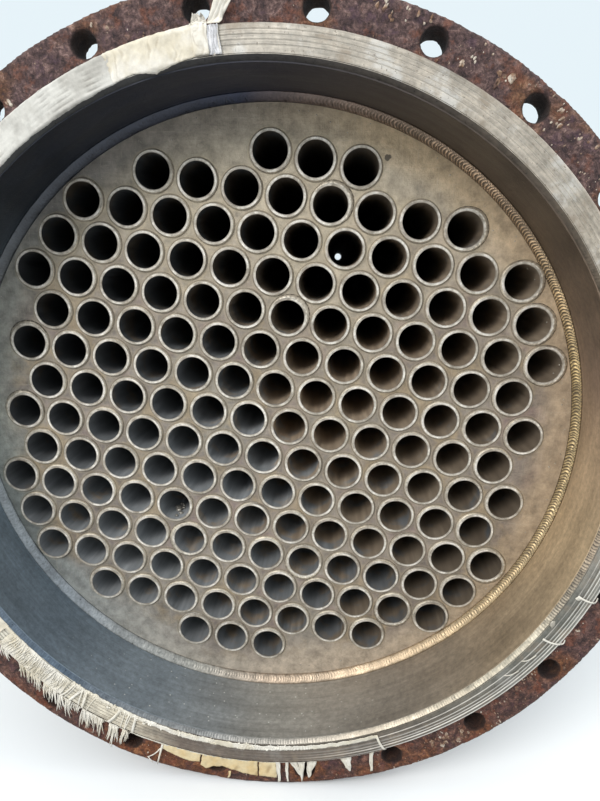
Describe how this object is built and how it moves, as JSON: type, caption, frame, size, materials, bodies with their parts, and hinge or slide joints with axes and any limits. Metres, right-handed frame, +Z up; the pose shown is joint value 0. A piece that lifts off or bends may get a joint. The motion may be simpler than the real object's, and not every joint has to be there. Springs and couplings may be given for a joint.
{
  "type": "shell and tube heat exchanger",
  "caption": "Horizontal shell and tube heat exchanger with open ends: rusty bolting flanges, grooved facing rings and a tube sheet full of open tubes set back inside each end.",
  "frame": {"origin": "on the ground under the middle of the exchanger", "axes": "+Y along the tubes from the front end to the rear end, +Z up, +X towards the inlet nozzle"},
  "size_m": [1.04, 3.194, 0.83],
  "materials": {
    "rusty_steel": "rough, heavily rusted",
    "ring_steel": "dull, turned and stained",
    "barrel_steel": "dull, heat stained",
    "sheet_steel": "satin, straw tinted",
    "weld_steel": "rippled weld bead, straw tinted",
    "tube_steel": "satin",
    "shell_steel": "dull, mill finish",
    "nozzle_steel": "dull, turned",
    "tape": "matt, crinkled masking tape"
  },
  "bodies": {
    "root": {"front_flange": "rusty_steel", "front_facing_ring": "ring_steel", "front_rim_weld": "weld_steel", "front_barrel": "barrel_steel", "front_tube_sheet": "sheet_steel", "front_sheet_weld": "weld_steel", "front_flange_weld": "rusty_steel", "rear_flange": "rusty_steel", "rear_facing_ring": "ring_steel", "rear_rim_weld": "weld_steel", "rear_barrel": "barrel_steel", "rear_tube_sheet": "sheet_steel", "rear_sheet_weld": "weld_steel", "rear_flange_weld": "rusty_steel", "tube_row_01": "tube_steel", "tube_row_02": "tube_steel", "tube_row_03": "tube_steel", "tube_row_04": "tube_steel", "tube_row_05": "tube_steel", "tube_row_06": "tube_steel", "tube_row_07": "tube_steel", "tube_row_08": "tube_steel", "tube_row_09": "tube_steel", "tube_row_10": "tube_steel", "tube_row_11": "tube_steel", "tube_row_12": "tube_steel", "tube_row_13": "tube_steel", "tube_row_14": "tube_steel", "tube_row_15": "tube_steel", "shell_front_course": "shell_steel", "shell_middle_course": "shell_steel", "shell_rear_course": "shell_steel", "girth_welds": "weld_steel", "inlet_neck": "nozzle_steel", "inlet_flange": "nozzle_steel", "inlet_pad": "shell_steel", "inlet_welds": "weld_steel", "outlet_neck": "nozzle_steel", "outlet_flange": "nozzle_steel", "outlet_pad": "shell_steel", "outlet_welds": "weld_steel"}
  },
  "joints": []
}
